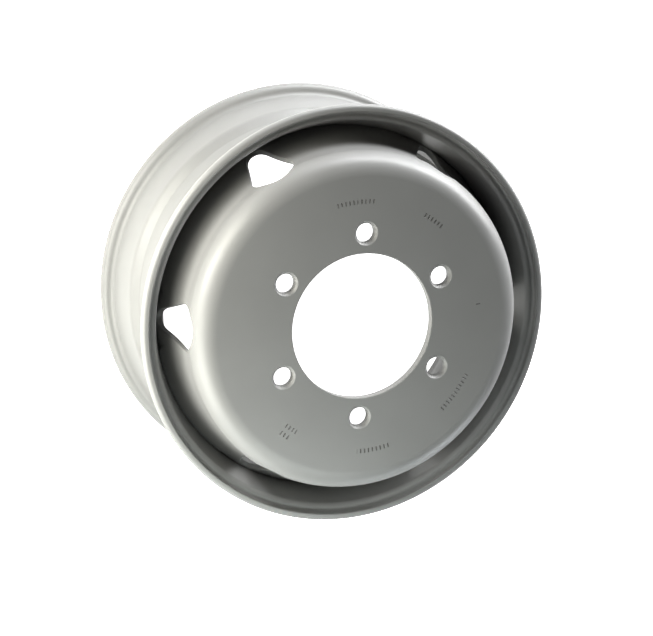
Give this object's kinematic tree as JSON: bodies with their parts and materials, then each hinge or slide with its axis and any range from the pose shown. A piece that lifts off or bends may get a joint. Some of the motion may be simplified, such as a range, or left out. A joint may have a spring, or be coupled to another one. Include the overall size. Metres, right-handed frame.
{
  "type": "steel disc wheel",
  "caption": "Steel disc wheel for a tubeless truck tyre: rolled drop-centre rim and pressed disc with hub bore, stud holes and hand holes.",
  "frame": {"origin": "on the wheel's axis, in the plane of the rear flange's edge, on which the wheel lies", "axes": "+Z along the axis towards the disc's outer face; +X through the middle of one hand hole"},
  "size_m": [0.47, 0.47, 0.236],
  "materials": {
    "rim_paint": "satin",
    "disc_paint": "satin",
    "weld_paint": "satin"
  },
  "bodies": {
    "root": {"rim": "rim_paint", "disc": "disc_paint", "disc_weld": "weld_paint"}
  },
  "joints": []
}
